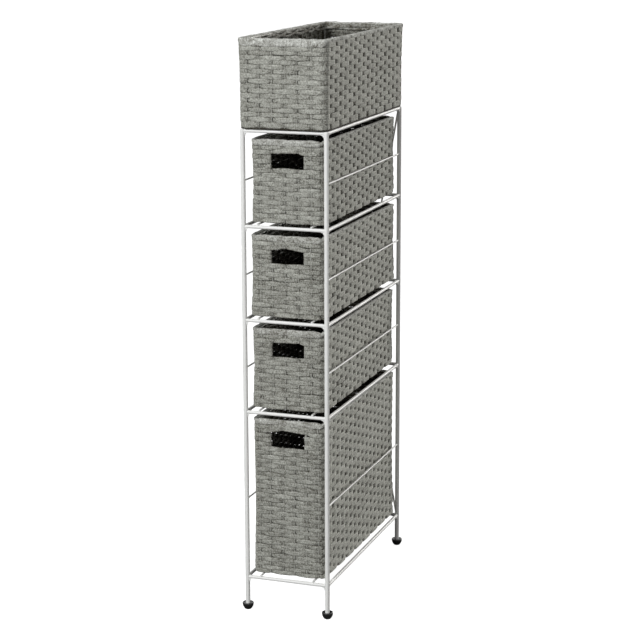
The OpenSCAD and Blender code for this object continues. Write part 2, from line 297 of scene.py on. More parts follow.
def paper_rope(name, colour, dark):
    """Twisted paper rope: streaks along the strand, a tone for each float, painted light and shade, dark
    flecks in the weave.
    """
    mat, nt, bsdf = new_material(name)
    stretch = node(nt, "ShaderNodeMapping")
    stretch.inputs["Scale"].default_value = (5.0, 9.0, 1.0)
    nt.links.new(node(nt, "ShaderNodeUVMap", uv_map="strand").outputs[0], stretch.inputs[0])
    place = node(nt, "ShaderNodeTexCoord").outputs["Object"]
    fibre = noise(nt, stretch.outputs[0], Scale=1.0, Detail=4.0, Roughness=0.62)
    grain = noise(nt, place, Scale=430.0, Detail=3.0, Roughness=0.7)
    speck = noise(nt, place, Scale=240.0, Detail=1.0)
    patch = noise(nt, place, Scale=22.0, Detail=2.0)
    total = node(nt, "ShaderNodeAttribute", attribute_name="tone").outputs["Fac"]
    for value, weight in ((fibre, 0.9), (grain, 2.6), (speck, 0.7), (patch, 0.3)):
        total = weighted(nt, value, weight, total)
    darkest, lightest = 1.425, 3.0
    light = in_range(nt, total, (darkest, lightest), (0.0, 1.0))
    nt.links.new(mixed_colour(nt, light, dark, colour), bsdf.inputs["Base Color"])
    add_bump(nt, bsdf, weighted(nt, grain, 0.35, fibre), strength=0.7, distance=0.0012)
    bsdf.inputs["Roughness"].default_value = 0.82
    bsdf.inputs["Specular IOR Level"].default_value = 0.2
    return mat


def powder_coat():
    """White powder coat with a low sheen and a faint orange peel."""
    mat, nt, bsdf = new_material("white_powder_coat")
    place = node(nt, "ShaderNodeTexCoord").outputs["Object"]
    peel = noise(nt, place, Scale=900.0, Detail=2.0)
    tint = noise(nt, place, Scale=14.0, Detail=2.0)
    add_bump(nt, bsdf, peel, strength=0.12, distance=0.0002)
    nt.links.new(mixed_colour(nt, tint, (0.83, 0.83, 0.815), (0.89, 0.89, 0.875)), bsdf.inputs["Base Color"])
    nt.links.new(in_range(nt, tint, (0.0, 1.0), (0.34, 0.46)), bsdf.inputs["Roughness"])
    bsdf.inputs["Specular IOR Level"].default_value = 0.3
    return mat


def plain_surface(name, low, high, rough, scale, metallic=0.0, bump=0.1):
    """A moulded or drawn surface: slight changes in colour and roughness, and a fine bump."""
    mat, nt, bsdf = new_material(name)
    place = node(nt, "ShaderNodeTexCoord").outputs["Object"]
    change = noise(nt, place, Scale=scale, Detail=4.0)
    nt.links.new(mixed_colour(nt, change, low, high), bsdf.inputs["Base Color"])
    nt.links.new(in_range(nt, change, (0.0, 1.0), rough), bsdf.inputs["Roughness"])
    add_bump(nt, bsdf, change, strength=bump, distance=0.0003)
    bsdf.inputs["Metallic"].default_value = metallic
    return mat


# Each basket's rope colours are scaled by a factor of their own.
SHADES = {
    "top_basket": 0.99,
    "small_drawer_3": 0.95,
    "small_drawer_2": 1.0,
    "small_drawer_1": 1.0,
    "tall_drawer": 1.0,
}


def scaled_per_basket(part, colour, dark):
    """The paper rope of one part, for each basket scaled by its own factor."""
    ropes = {}
    for name, shade in SHADES.items():
        shaded = [tuple(c * shade for c in rgb) for rgb in (colour, dark)]
        ropes[name] = paper_rope(f"{part}_{name}", *shaded)
    return ropes


ROPE = scaled_per_basket("weft", (0.71, 0.72, 0.66), (0.050, 0.043, 0.030))
# The stakes' rope is darker than the weft as painted shade, since they lie in shade between the floats.
SHADED_STAKE = scaled_per_basket("stakes", (0.534, 0.534, 0.488), (0.034, 0.030, 0.022))
# The rim's rope is lighter than the weft, in part as a painted highlight on its rounded top.
RIM = scaled_per_basket("rim", (0.893, 0.908, 0.864), (0.075, 0.064, 0.044))
COAT = powder_coat()
FOOT = plain_surface("black_plastic", (0.006, 0.006, 0.006), (0.014, 0.014, 0.014), (0.3, 0.42), 260.0)
WIRE = plain_surface("drawn_wire", (0.20, 0.20, 0.19), (0.33, 0.33, 0.31), (0.34, 0.5), 160.0, 1.0, 0.2)

# ------------------------------------------------------------ basket sizes

# Sizes are in mm. A pair holds the value for the front and back walls, and then the one for the sides.
# Round corners, and how far the outline lies inside of the CAD shell's box.
CORNER_R = 12.0
PROUD = 0.5
# How far all walls draw in half way up, and a drawer's walls stand out at the rim and at the floor.
WAIST = 1.0
BELLY = 1.0
# Height over the floor up to which the corners tuck in.
TUCK_H = 16

# Half thickness of the flat rope, how many times thicker it is, and how far its outside lies in.
HALF_T = 2.2 / 2
THICKER = (1.5, 1.0)
ROPE_INSET = 0.25
# How deep and how wide the rope dips behind a stake.
DIP = 3.2
DIP_W = 3.2
# How far a float falls away towards the dips.
SHOULDER = (1.1, 1.8)
SHOULDER_W = 8.5
# How far a float stands out beside the dips.
SWELL = (0.7, 1.0)
SWELL_AT = 6.6
SWELL_W = 2.8
# How far the first row runs in under the rim.
UNDER_RIM = (1.8, 0.0)
# How far the rows lap over each other, and how much more where a row passes outside of a stake.
LAP = (0.25, 0.5)
CROWD = (0.25, 0.8)
CROWD_W = 4.5
# Share of its height that the rope loses from the middle of a float to a dip.
TAPER = (0.26, 0.0)
TAPER_W = 10.5
TAPER_LEVEL = 0.35
PINCH_W = 3.2
# How much the rope swells on the inside, beside the stakes that it goes round.
PUFF = 2.3
PUFF_AT = 3.4
PUFF_W = 2
# How far beside the hand hole an open row ends, how far round it turns back there, and on what radius.
ROW_END = 0.9
HOOK = np.radians([35, 80, 125, 165])
HOOK_R = 1.6
# Half widths of the hole up to which rows are lifted or dropped beside it, and over which that fades out.
REACH = 1.4
FADE = 0.4
# Depth from which on the rows are lifted, and distance below the hole over which they are dropped.
LIFT_FROM = 8
DROP_OVER = 34

# Offsets of a stake from the outline at the rim, behind a row and at the floor, and half its depth and width.
STAKE_TOP = -3.4
STAKE_BACK = -3.3
STAKE_LOW = -3.2
STAKE_SIZE = (0.85, 1.7)
# Height and offset of the cord under the top basket.
CORD_Z = -1.9
CORD_OFFSET = -2.9

# How much lower the rim is on the sides, and how low it may get.
RIM_DROP = 8.6
RIM_LEAST = 6.0
# Step along the rim, and pitch of the turns that wrap it.
RIM_STEP = 1.15
TURN = 4.6
# How far the rim of a drawer sags at its corners.
SAG = 2.2
SAG_W = 9
# Pitch, depth below the top and offset of the two strands that lash the rim.
LASH = 150
LASH_DEPTH = 11.6
LASH_OFFSET = -8.6

# Pitch of the floor's strands and of the stakes that cross them, and how far inside of the outline they end.
LANE = 9.2
CROSS = 27.0
FLOOR_INSET = 3.2

# Tones are added to the noises of paper_rope(), and the lower the sum, the darker the rope.
# Painted light and shade by wall: tones of the front and back walls of the upper two baskets, and of those
# that stand lower than LOWER, darker as the light falls off lower down.
UPPER_FRONTS_LIGHT = -0.14
LOWER_FRONTS_LIGHT = -0.22
LOWER = 700
# Painted light: tone of the sides of a basket that stands at SIDES_LEVEL, and how much darker they are for
# each mm above it.
SIDES_LIGHT = 0.07
SIDES_LEVEL = 500
SIDES_LIGHT_FADE = 0.00012
ROW_TONE = 0.04
CORNER_SHADE = 0.15
# Painted shade: how much darker a row is along its seams, with some dirt there, over a wide stretch round a
# dip, and in the dip itself.
SEAM_DIRT_AND_SHADE = (0.26, 0.08)
DIP_SHADE = (0.14, 0.0)
DIP_SHADE_W = 9
SLOT_SHADE = (0.0, 1.1)
SLOT_W = 3.0
# Painted shade at the start and a painted highlight at the end of a float on the right side, and their
# distance from the dips.
FLOAT_START_SHADE = -0.35
FLOAT_END_HIGHLIGHT = 0.5
FLOAT_AT = 7.0
FLOAT_W = 3
# Painted shade on the inside: how much darker a row is there, in the first rows of the top basket, and
# elsewhere.
INSIDE_SHADE_SHARES = (0.75, 1.0)
FIRST_ROWS = 3
INSIDE_SHADE_FIRST = 1.2
INSIDE_SHADE = 2.2
# Painted light on the stakes of the front and back walls, and painted shade on those of the sides.
STAKE_LIGHT_AND_SHADE = (0.1, -0.3)
# Painted shade: the cord is dark as the shadow line under the top basket.
CORD_SHADE = -0.9
LASH_TONE = -0.5

# Most quads that one mesh of a weft may have.
MAX_QUADS = 100_000
# Shares of the way from one stake to the next at which a row has its rings, closer together near the stakes.
STEPS = np.array([0, 0.05, 0.11, 0.2, 0.34, 0.5, 0.66, 0.8, 0.89, 0.95])

# Depth of the middle of each row below the basket's top, as measured in the photograph.
SMALL_ROWS = [17.7, 26.3, 35.5, 44.8, 52.9, 62.0, 71.3, 81.3, 89.4, 98.6, 107.3, 117.3, 126.0, 135.3, 144.0,
              152.7, 162.0]
TOP_ROWS = [21.6, 28.9, 37.6, 46.6, 56.2, 65.2, 74.9, 83.9, 93.6, 102.6, 112.3, 121.4, 131.1, 140.2, 149.3,
            158.4, 168.3]
TALL_ROWS = [17.0 + 9.16 * i for i in range(34)] + [326.5]

# Stakes: x of those on the front, if one is on the right front corner, y of those on the right side, and how
# many go on round the outline from there.
Stakes = namedtuple("Stakes", "front on_corner right rest")
SMALL_STAKES = Stakes((-56.1, -31.0, -3.7, 23.7, 50.9), True, -197.7 + 26.36 * np.arange(17), 23)
TALL_STAKES = Stakes((-63.0, -39.2, -12.8, 13.4, 39.5, 64.5), False, -226.0 + 26.86 * np.arange(18), 22)
TOP_STAKES = Stakes((-73.2, -49.3, -22.2, 4.0, 30.2, 58.4, 84.1), False, -223.0 + 28.6 * np.arange(17), 24)

# Hand hole: x of its edges, depths of its top and bottom below the basket's top, and rise of its arch.
Hole = namedtuple("Hole", "left right top bottom rise")
SMALL_HOLE = Hole(-35.0, 36.5, 31.0, 56.5, 4.0)

# Section of the rim in 16 points: up the outside, over the rim wire and down the inside.
RIM_X = np.array([-5.0, -2.6, -1.0, -0.2, 0.15, 0.15, 0.05, -0.5,
                  -1.9, -4.0, -6.4, -8.1, -8.8, -8.3, -7.4, -6.2])
# Depths of the outer points as shares of the rim's height, and heights of the inner ones.
RIM_OUTER = np.array([0.99, 1.03, 0.99, 0.90, 0.68, 0.42, 0.22])
RIM_INNER = np.array([-1.1, -0.4, 0.0, -0.4, -1.6, -3.4, -5.4, -6.8])
# How much each point follows the changes of the outer face, and those of the top.
RIM_FACE = np.array([0.5, 1, 1, 1, 1, 1, 0.8, 0.3, 0, 0, 0, 0, 0, 0, 0, 0.2])
RIM_TOP = np.array([0, 0, 0, 0, 0, 0.2, 0.5, 0.8, 1, 1, 1, 0.8, 0.5, 0.2, 0, 0])


def spread(first, last, count, total):
    """Even arc positions strictly between last and first, going on round the outline."""
    return last + (first + total - last) * np.arange(1, count + 1) / (count + 1)


# ------------------------------------------------------------------ baskets


class Row:
    """The points s of one row, and where they lie between the stakes."""

    def __init__(self, basket, number, s):
        total = basket.outline.total
        behind = basket.behind(number)
        self.number = number
        self.s = s
        self.rng = basket.rng
        self.count = len(behind)
        # Distance to the nearest dip, where the row goes behind a stake, and which float between dips it is.
        self.to_dip, self.floats = away(s, behind, total)
        # Distance to the nearest crest, where it passes outside of a stake.
        self.to_crest, _ = away(s, basket.behind(number + 1), total)
        # True in the first half of a float.
        self.starts = away(s + 0.1, behind, total)[0] > self.to_dip

    def each(self, low, high):
        """A random number for each float, at all of its points."""
        return self.rng.uniform(low, high, self.count)[self.floats]

    def scatter(self, width):
        """Like each(), with numbers that scatter round zero."""
        return self.rng.normal(0, width, self.count)[self.floats]


class Basket:
    """A woven basket in place of its CAD shell: weft, stakes, rim and floor."""

    def __init__(self, name, rows, rim_h, stakes, phase, lean, bulge, loose, hole, relief, seed):
        low, high = (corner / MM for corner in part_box(name))
        half = (high - low) / 2
        self.name = name
        self.h = high.z - low.z
        self.cx = (low.x + high.x) / 2
        self.cy = (low.y + high.y) / 2
        self.z0 = low.z
        self.phase = phase
        self.lean = lean
        self.bulge = bulge
        self.loose = loose
        self.relief = relief
        self.hole = hole
        self.rng = np.random.default_rng(seed)
        self.outline = Outline(half.x - lean - PROUD, half.y - lean - PROUD, CORNER_R)
        if hole:
            self.hole_left = self.outline.on_front(hole.left - self.cx)
            self.hole_right = self.outline.on_front(hole.right - self.cx)
        # A drawer has a belly and a plainer rim, and its corners tuck in less than those of the top basket.
        self.belly = BELLY if hole else 0.0
        self.wrap = 0.35 if hole else 1.0
        self.tuck = 2.5 if hole else 4.0
        # Painted light and shade: each basket's front and back walls and its sides get tones for how the
        # light falls there.
        self.fronts_light = LOWER_FRONTS_LIGHT if self.z0 < LOWER else UPPER_FRONTS_LIGHT
        self.sides = SIDES_LIGHT - SIDES_LIGHT_FADE * (self.z0 - SIDES_LEVEL)
        # On the sides the rim is lower, and one more row shows under it.
        self.rim_h = rim_h
        self.rim_side = max(rim_h - RIM_DROP, RIM_LEAST)
        self.rows = np.array([(self.rim_side + rim_h) / 2] + rows)
        s = list(self.outline.on_front(np.array(stakes.front) - self.cx))
        if stakes.on_corner:
            s.append(self.outline.corner(1))
        s += list(self.outline.on_right(stakes.right - self.cy))
        s += list(spread(s[0], s[-1], stakes.rest, self.outline.total))
        assert len(s) % 2 == 0, (name, len(s))
        self.stakes = np.array(s)

    def shape(self, z, n):
        """How far the wall with outward normals n stands out at height z over the floor of the basket."""
        t = np.clip(z / self.h, 0, 1)
        # The back has no belly, as the brace wires are close to it.
        belly = self.belly * (1 - np.clip(n[:, 1], 0, 1))
        return self.lean * t + belly - (WAIST + belly) * np.sin(math.pi * t) ** 2

    def wall(self, s, z, offset):
        """Points (n, 3) at arc s, height z and distance offset outwards, with the outward normals."""
        p, n = self.outline.at(s)
        tuck = corner_share(n) * np.clip(1 - z / TUCK_H, 0, 1) ** 2
        # In use the left side has come out at the front, and the right side at the back.
        towards = np.sign(n[:, 0]) * p[:, 1] / self.outline.half_l
        slack = n[:, 0] ** 2 * (0.5 + 0.5 * towards) * (1.15 - 0.5 * z / self.h)
        slack *= np.where(n[:, 0] < 0, *self.bulge)
        p = p + n * (offset + self.shape(z, n) - self.tuck * tuck + slack)[:, None]
        pts = np.column_stack([p[:, 0] + self.cx, p[:, 1] + self.cy, np.broadcast_to(z, len(s)) + self.z0])
        return pts, np.column_stack([n, np.zeros(len(s))])

    def by_face(self, s, ends, sides):
        """A value for the front and back walls that turns into the one for the sides round the corners."""
        _, n = self.outline.at(s)
        return ends + (sides - ends) * n[:, 0] ** 2

    def depth(self, s):
        """How deep the rope goes behind a stake."""
        return DIP * self.by_face(s, *self.relief)

    def shoulder(self, s):
        """How far a float falls away towards its ends: less round the corners."""
        _, n = self.outline.at(s)
        return self.by_face(s, *SHOULDER) * (1 - 0.7 * corner_share(n))

    def behind(self, row):
        """Arc positions of the stakes that this row goes behind."""
        return self.stakes[(np.arange(len(self.stakes)) + row + self.phase) % 2 == 0]

    def write(self, weave, ending, material):
        return weave.build(self.name + ending, material, self.name, "paper_rope")

    # .............................................................. weft

    def weft(self):
        """The rows of flat rope. They are written in one piece, or in two, to keep to MAX_QUADS."""
        following = np.append(self.stakes[1:], self.stakes[0] + self.outline.total)
        s_all = (self.stakes[:, None] + (following - self.stakes)[:, None] * STEPS).ravel()
        mids = self.h - self.rows
        # A drawer's last row ends over its floor, and that of the top basket just below it.
        top = self.h - self.rim_side + 0.6
        bottom = 0.5 if self.hole else -0.6
        edges = np.concatenate([[top], (mids[1:] + mids[:-1]) / 2, [bottom]])
        one_piece = len(mids) * len(s_all) * len(FLAT) < MAX_QUADS
        endings = ("_weft",) if one_piece else ("_weft_upper", "_weft_lower")
        pieces = [Weave() for _ in endings]
        for i in range(len(mids)):
            mid = (edges[i] + edges[i + 1]) / 2
            half_pitch = (edges[i] - edges[i + 1]) / 2
            open_row = bool(self.hole) and self.hole.top < self.h - mid < self.hole.bottom
            row = Row(self, i, self.beside_hole(s_all) if open_row else s_all)
            self.weave_row(pieces[i * len(pieces) // len(mids)], row, mid, half_pitch, open_row)
        for piece, ending in zip(pieces, endings):
            ob = self.write(piece, ending, ROPE[self.name])
            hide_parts(self.name)

    def beside_hole(self, s):
        """The part of a row that runs from the hole's right edge round the basket to its left edge."""
        left, right, total = self.hole_left, self.hole_right, self.outline.total
        s = s % total
        s = s[(s > right + 2) | (s < left - 2)]
        s = np.sort(np.where(s < left, s + total, s))
        return np.concatenate([[right + ROW_END], s, [left + total - ROW_END]])

    def weave_row(self, weave, row, mid, half_pitch, open_row):
        """Adds one row, at the height mid over the floor."""
        half_t = HALF_T * self.by_face(row.s, *THICKER) * row.each(0.92, 1.12)
        offset = self.row_offset(row, half_t)
        z = self.row_height(row, mid)
        half_h = self.row_half_height(row, half_pitch)
        if self.hole and row.number == len(self.rows) - 1:
            # The last row of a drawer stays clear of the runner wires.
            z = np.maximum(z, half_h - 0.1)
        tone = self.row_tone(row)
        centre, n = self.wall(row.s, z, offset)
        section = self.row_section(row, n, half_t, half_h)
        s = row.s
        if open_row:
            centre, n, section, s, tone = self.hook(centre, n, section, s, tone)
        # Painted shade: the inside is darker, but less so in the first rows of the top basket, where light
        # falls in over the rim. The seams get painted shade and dirt.
        inner = INSIDE_SHADE_FIRST if row.number < FIRST_ROWS and not self.hole else INSIDE_SHADE
        inner = self.by_face(s, *INSIDE_SHADE_SHARES) * inner
        tone = tone[:, None] + inner[:, None] * INNER_SHADE - self.by_face(s, *SEAM_DIRT_AND_SHADE)[:, None] * SEAM
        weave.strand(centre, n, UP, section, s, tone, closed=not open_row)

    def row_offset(self, row, half_t):
        """Offset of the middle of the rope from the outline, outwards."""
        s, d = row.s, row.to_dip
        offset = -half_t - ROPE_INSET - self.depth(s) * row.each(0.82, 1.12) * hill(d, DIP_W)
        offset -= self.shoulder(s) * row.each(0.7, 1.3) * hill(d, SHOULDER_W)
        offset += self.by_face(s, *SWELL) * row.each(0.4, 1.1) * hill(d, SWELL_W, SWELL_AT)
        if row.number == 0:
            offset -= self.by_face(s, *UNDER_RIM)
        uneven = self.rng.normal(0, 0.06, len(s))
        return offset + (uneven + 0.25 * np.sin(s / 41 + row.number * 1.7 + self.rng.uniform(0, 6)))

    def row_height(self, row, mid):
        """Height of the middle of the rope over the basket's floor."""
        s = row.s
        wobble = row.scatter(0.38) * (1 - hill(row.to_dip, DIP_W)) + self.rng.normal(0, 0.10, len(s))
        z = mid + wobble + 0.35 * np.sin(s / 63 + row.number * 0.9)
        return z + self.arch(s, mid) if self.hole else z

    def row_half_height(self, row, half_pitch):
        """Half the height of the rope. It is lower at its dips, most of all on the left side of a drawer."""
        s = row.s
        pinch = row.each(0.02, 0.16) + self.loose * left_share(self.outline.at(s)[1])
        pinch = 1 - pinch * hill(row.to_dip, PINCH_W)
        lens = 1 - self.by_face(s, *TAPER) * (hill(row.to_dip, TAPER_W) - TAPER_LEVEL)
        half_h = (half_pitch + self.by_face(s, *LAP)) * pinch * lens * row.each(0.97, 1.05)
        if row.number < len(self.rows) - 1:
            # Where it passes outside of a stake, a row spreads over the dips of its neighbours.
            half_h += self.by_face(s, *CROWD) * hill(row.to_crest, CROWD_W)
        return half_h

    def row_tone(self, row):
        """Tone along the rope: random for each float, with painted light and shade on the walls, at the dips
        and round the corners.
        """
        s, d = row.s, row.to_dip
        n = self.outline.at(s)[1]
        tone = row.scatter(0.05) + self.rng.normal(0, 0.02)
        tone += ROW_TONE - self.by_face(s, *DIP_SHADE) * hill(d, DIP_SHADE_W)
        # Painted light on the right side: painted shade where a float starts, and a painted highlight at its
        # end.
        right_share = np.clip(n[:, 0], 0, 1) ** 2
        tone += right_share * np.where(row.starts, FLOAT_START_SHADE, FLOAT_END_HIGHLIGHT) * hill(d, FLOAT_W, FLOAT_AT)
        tone -= self.by_face(s, *SLOT_SHADE) * row.each(0.4, 1.4) * hill(d, SLOT_W)
        # Painted light and shade on each wall, and painted shade round the corners.
        tone += self.by_face(s, self.fronts_light, self.sides) - CORNER_SHADE * corner_share(n)
        return tone

    def row_section(self, row, n, half_t, half_h):
        """The rope's section at each point: flat on the sides, and fuller on the front and back walls."""
        crease = row.each(-0.2, 1.0).clip(0)
        section = FLAT[None] + (OVAL - FLAT)[None] * self.by_face(row.s, 1, 0)[:, None, None]
        section = section + CREASE[None] * crease[:, None, None]
        section = section * np.stack([half_t, half_h], -1)[:, None, :]
        # The swelling closes the wall. On the left side of a drawer it is weaker.
        swollen = PUFF * (1 - 0.8 * (self.loose > 0) * left_share(n)) * hill(row.to_crest, PUFF_W, PUFF_AT)
        section[:, OUTSIDE:, 0] *= 1 + swollen[:, None]
        return section

    def arch(self, s, z_mid):
        """Lift of the rows over the hand hole and drop of those under it, which are pushed apart there."""
        hole, rows = self.hole, self.rows
        half = (self.hole_right - self.hole_left) / 2
        # Positions up to 60 mm before the start of the outline count as negative.
        s = (s + 60) % self.outline.total - 60
        off = np.abs(s - (self.hole_left + self.hole_right) / 2) / half
        flat = np.clip((REACH - off) / FADE, 0, 1)
        flat = flat * flat * (3 - 2 * flat)
        inside = np.flatnonzero((rows > hole.top) & (rows < hole.bottom))
        over, under = inside[0] - 1, inside[-1] + 1
        depth = self.h - z_mid
        if depth < rows[over] + 1:
            share = np.clip((depth - LIFT_FROM) / (rows[over] - LIFT_FROM), 0, 1)
            lift = max((rows[over] + rows[over + 1]) / 2 - hole.top, 0)
            return share * (lift * flat + hole.rise * np.clip(1 - off ** 2, 0, None))
        if depth > rows[under] - 1:
            share = np.clip(1 - (depth - rows[under]) / DROP_OVER, 0, 1)
            drop = max(hole.bottom - (rows[under] + rows[under - 1]) / 2, 0)
            return -share * drop * flat
        return np.zeros(len(s))

    def hook(self, centre, n, section, s, tone):
        """Turns both ends of an open row inwards round the stakes at the hand hole's edges."""
        k = len(HOOK)
        bends = []
        normals = []
        for end, sign in ((0, -1), (-1, 1)):
            out = n[end]
            along = np.cross(UP, out) * sign
            turned = np.array([out * math.cos(t) + along * math.sin(t) for t in HOOK])
            normals.append(turned)
            bends.append(centre[end] - out * HOOK_R + HOOK_R * turned)
        centre = np.concatenate([bends[0][::-1], centre, bends[1]])
        n = np.concatenate([normals[0][::-1], n, normals[1]])
        section = np.concatenate([np.repeat(section[:1], k, 0), section, np.repeat(section[-1:], k, 0)])
        section[:k, :, 0] *= 0.8
        section[-k:, :, 0] *= 0.8
        s = np.concatenate([s[0] - np.arange(k, 0, -1) * 1.5, s, s[-1] + np.arange(1, k + 1) * 1.5])
        tone = np.concatenate([np.repeat(tone[0], k), tone, np.repeat(tone[-1], k)])
        return centre, n, section, s, tone

    # ............................................................ stakes

    def uprights(self):
        """The stakes: in front of a row where its rope dips, behind it elsewhere."""
        weave = Weave()
        knots = np.concatenate([[self.h - 6], self.h - self.rows, [2.4]])
        thirds = [np.linspace(upper, lower, 3, endpoint=False) for upper, lower in zip(knots, knots[1:])]
        z = np.concatenate(thirds + [knots[-1:]])
        for k in range(len(self.stakes)):
            self.stake(weave, k, knots, z)
        if self.hole:
            self.hole_edges(weave)
        else:
            self.cord(weave)
        self.write(weave, "_stakes", SHADED_STAKE[self.name])

    def upright(self, weave, centre, n, section, z, tone):
        """Adds an upright strand on the wall."""
        along = np.cross(np.broadcast_to(UP, n.shape), n)
        weave.strand(centre, n, along, section, -z, tone, closed=False)

    def stake(self, weave, k, knots, z):
        """Adds stake k, in two parts where it meets the hand hole."""
        s0 = self.stakes[k]
        here = np.array([s0])
        proud = 0.35 - (self.depth(here) + 0.8 * self.shoulder(here))[0] * self.by_face(here, 0.75, 1.0)[0]
        front = (k + np.arange(len(self.rows)) + self.phase) % 2 == 0
        if self.by_face(here, 0, 1)[0] < 0.5:
            # On the front and back walls the rim covers the first row.
            front[0] = False
        offsets = np.concatenate([[STAKE_TOP], np.where(front, proud, STAKE_BACK), [STAKE_LOW]])
        offset = np.interp(-z, -knots, offsets)
        s = s0 + self.rng.normal(0, 0.5) + np.cumsum(self.rng.normal(0, 0.12, len(z)))
        # Painted light on the front and back walls, and painted shade on the sides.
        shade = self.by_face(here, *STAKE_LIGHT_AND_SHADE)[0]
        spans = [(z[0], z[-1])]
        if self.hole and self.hole_left - 1 < s0 % self.outline.total < self.hole_right + 1:
            over_hole = self.h - self.hole.top + 2
            lift = self.arch(here, over_hole)[0]
            spans = [(z[0], over_hole + lift), (self.h - self.hole.bottom - 1, z[-1])]
        for high, low in spans:
            part = (z <= high) & (z >= low)
            centre, n = self.wall(s[part], z[part], offset[part])
            section = ROUND * STAKE_SIZE * self.rng.uniform(0.9, 1.1)
            tone = self.rng.normal(0, 0.08) + np.full((part.sum(), 1), shade) + ROUND_INNER_SHADE
            self.upright(weave, centre, n, section, z[part], tone)

    def hole_edges(self, weave):
        """Adds the short stakes at the hand hole's edges, which the rows turn back round."""
        z = np.linspace(self.h - self.hole.top + 2, self.h - self.hole.bottom - 2, 8)
        for s0 in (self.hole_left - 0.4, self.hole_right + 0.4):
            centre, n = self.wall(np.full(8, s0), z, np.full(8, -2.7))
            self.upright(weave, centre, n, ROUND, z, np.zeros(8))

    def cord(self, weave):
        """Adds the cord that holds the stakes together a little below the floor of the top basket, painted
        dark as the shadow line there.
        """
        count = 160
        s = np.linspace(0, self.outline.total, count, endpoint=False)
        centre, n = self.wall(s, np.full(count, CORD_Z), self.rng.normal(CORD_OFFSET, 0.05, count))
        weave.strand(centre, n, UP, ROUND * (2.0, 2.3), s, np.full(count, CORD_SHADE), closed=True)

    # ............................................................... rim

    def rim(self):
        """The top course, folded over the rim wire and wrapped, and the two strands that lash it inside."""
        weave = Weave()
        n = int(self.outline.total / RIM_STEP)
        s = np.arange(n) * self.outline.total / n
        # Bunches of wrapping turns, with plain stretches between them.
        bunch = self.wrap * np.clip(np.sin(s / 19.5 + 1.6 * np.sin(s / 53)) * 2.6 - 2.0, 0, 0.4)
        rib = np.abs(np.sin(s * math.pi / TURN + 0.7 * np.sin(s / 23))) ** 0.6
        profile = self.rim_profile(s, bunch, rib)
        centre, out = self.wall(s, np.full(n, self.h), np.zeros(n))
        weave.strand(centre, out, UP, profile, s, self.rim_tone(s, bunch, rib), closed=True)
        self.lash(weave, s)
        self.write(weave, "_rim", RIM[self.name])

    def drift(self, n, width):
        """Smooth noise of unit spread at n points of the rim, width mm long."""
        m = max(int(width / RIM_STEP), 1)
        x = np.pad(self.rng.normal(0, 1, n), 3 * m, mode="wrap")
        x = np.convolve(x, np.hanning(2 * m + 1), "same")[3 * m:-3 * m]
        return x / x.std()

    def mottle(self, n, width):
        """Smooth noise for each point of the rim's section, alike at neighbours."""
        x = np.stack([self.drift(n, width) for _ in RIM_X], 1)
        return (x + 0.6 * np.roll(x, 1, 1)) / 1.17

    def rim_profile(self, s, bunch, rib):
        """The section of the rim at each s, (n, 16, 2)."""
        n = len(s)
        low = -self.by_face(s, self.rim_h, self.rim_side)[:, None]
        inner = np.broadcast_to(RIM_INNER, (n, len(RIM_INNER)))
        heights = np.concatenate([low * RIM_OUTER, inner, np.minimum(low + 1.6, -8.4)], 1)
        profile = np.stack([np.broadcast_to(RIM_X, heights.shape), heights], -1)
        # The rim follows the weave under it.
        row = Row(self, -1, s)
        dip = self.by_face(s, 0.35, 1.0) * hill(row.to_dip, DIP_W * 0.85)
        face = bunch * (rib - 0.75) * 0.9 + 0.12 * self.drift(n, 8) + 0.08 * self.drift(n, 2.4)
        face = face - (self.depth(s) * row.each(0.8, 1.15) - 0.4) * dip
        face = face + row.each(0.1, 0.4) * hill(row.to_dip, 2.8, 6)
        top = (0.25 * self.drift(n, 3) + 0.35 * self.drift(n, 14)) * self.by_face(s, 1, 0.5)
        top = top + 0.5 * bunch * (rib - 0.5)
        if self.hole:
            # The rims of the drawers sag a little at their corners.
            corners = np.array([self.outline.corner(k) for k in range(4)])
            top = top - SAG * hill(away(s, corners, self.outline.total)[0], SAG_W)
        profile[:, :, 0] += face[:, None] * RIM_FACE
        profile[:, :, 1] += top[:, None] * RIM_TOP
        return profile

    def rim_tone(self, s, bunch, rib):
        """Tones of the rim, (n, 16): mottled, with painted highlights on top and on the turns, and painted
        shade between the turns and on the inside.
        """
        n = len(s)
        # Painted light and shade along the wrapping turns: lighter where they stand out, darker between them.
        along = 0.06 * self.drift(n, 20) + (rib - 0.75) * 0.6 * bunch
        # Painted light and shade by wall, as on the rows.
        along = along + self.by_face(s, self.fronts_light, self.sides)
        mottled = 0.11 * self.mottle(n, 13) + 0.08 * self.mottle(n, 2.4)
        share = 0.5 if self.hole else 1.0
        # The top of the rim gets a painted highlight.
        tone = along[:, None] + mottled * share + 0.12 * RIM_TOP - (1 - share) * 0.14
        # Painted shade on the inside of the rim.
        tone -= (0.8 if self.hole else 0.35) * (np.arange(len(RIM_X)) > 11)
        return tone

    def lash(self, weave, s):
        """Adds the two strands that wind round each other on the inside of the rim."""
        n = len(s)
        turns = 2 * math.pi * round(self.outline.total / LASH) / self.outline.total
        twist = turns * s + 0.5 * self.drift(n, 60)
        fourth = slice(None, None, 4)
        for side in (0, math.pi):
            angle = twist[fourth] + side
            z = self.h - LASH_DEPTH + 3.6 * np.sin(angle) + 0.3 * self.drift(n, 20)[fourth]
            centre, out = self.wall(s[fourth], z, LASH_OFFSET + 1.1 * np.cos(angle))
            tone = LASH_TONE + 0.15 * self.drift(n, 9)[fourth]
            weave.strand(centre, out, UP, ROUND * (1.3, 2.9), s[fourth], tone, closed=True)

    # ............................................................. floor

